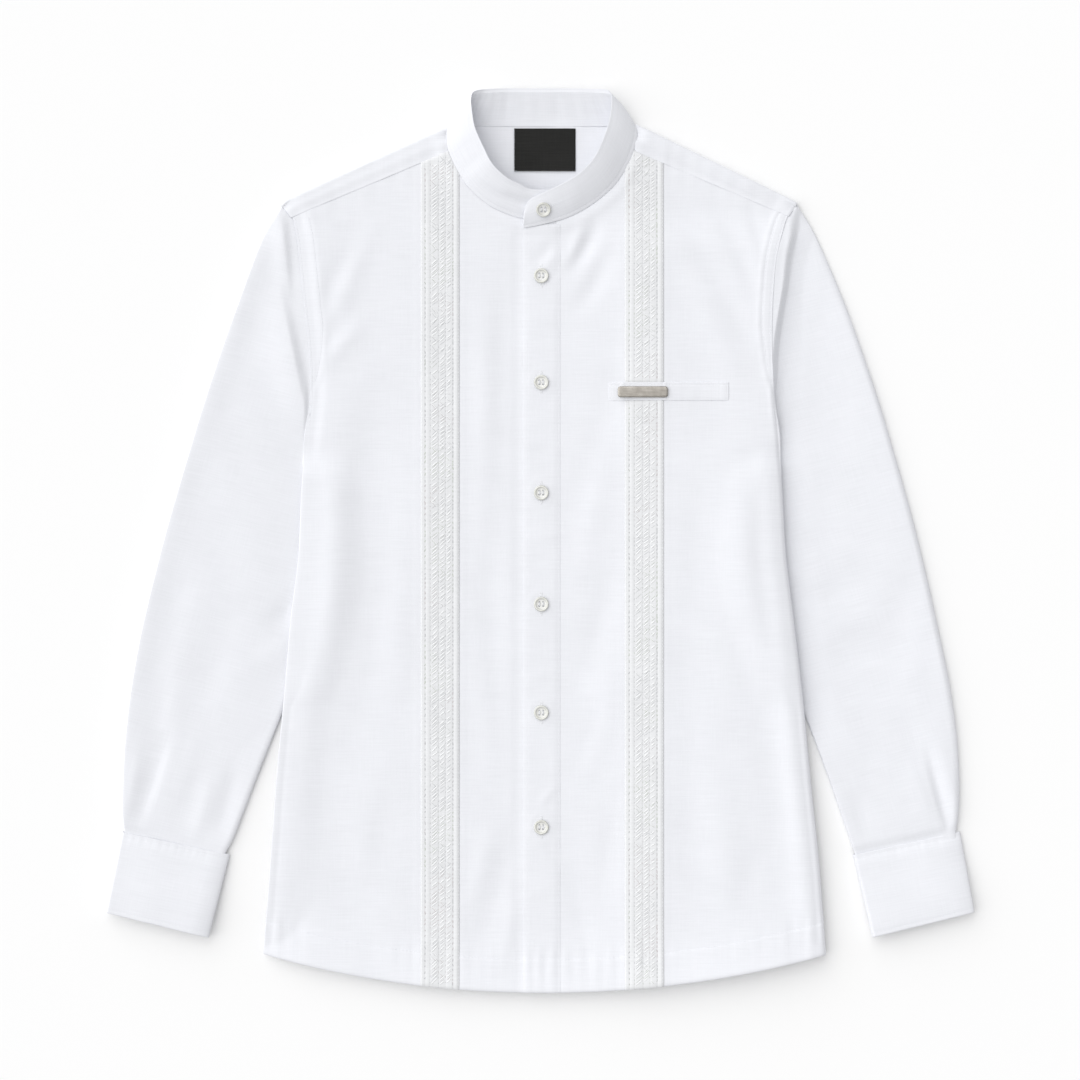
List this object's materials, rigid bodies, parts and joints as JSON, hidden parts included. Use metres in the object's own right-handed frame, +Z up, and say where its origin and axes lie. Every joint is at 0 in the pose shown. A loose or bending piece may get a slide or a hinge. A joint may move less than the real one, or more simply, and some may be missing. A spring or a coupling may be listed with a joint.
{
  "type": "koko shirt",
  "caption": "Long-sleeved white shirt with a standing band collar, buttoned front, lace bands and a chest welt, laid flat on its back.",
  "frame": {"origin": "under the middle of the laid shirt, on the surface that it lies on", "axes": "+Z up from the surface, +Y from the hem towards the collar, +X towards the wearer's left"},
  "size_m": [0.752, 0.7835, 0.0271],
  "materials": {
    "cloth": "white slub cotton, plain weave, matt",
    "lace": "off-white embroidered band, matt with raised stitches",
    "button": "pearly off-white, semi-gloss",
    "badge": "warm nickel, finely brushed",
    "label": "near-black damask weave, matt"
  },
  "bodies": {
    "root": {"back": "cloth", "yoke": "cloth", "front_right": "cloth", "front_left": "cloth", "placket": "cloth", "collar": "cloth", "sleeve_right": "cloth", "sleeve_left": "cloth", "cuff_right": "cloth", "cuff_left": "cloth", "pocket_welt": "cloth", "band_right": "lace", "band_left_upper": "lace", "band_left_lower": "lace", "badge": "badge", "neck_label": "label", "button_1": "button", "button_2": "button", "button_3": "button", "button_4": "button", "button_5": "button", "button_6": "button", "button_7": "button"}
  },
  "joints": []
}
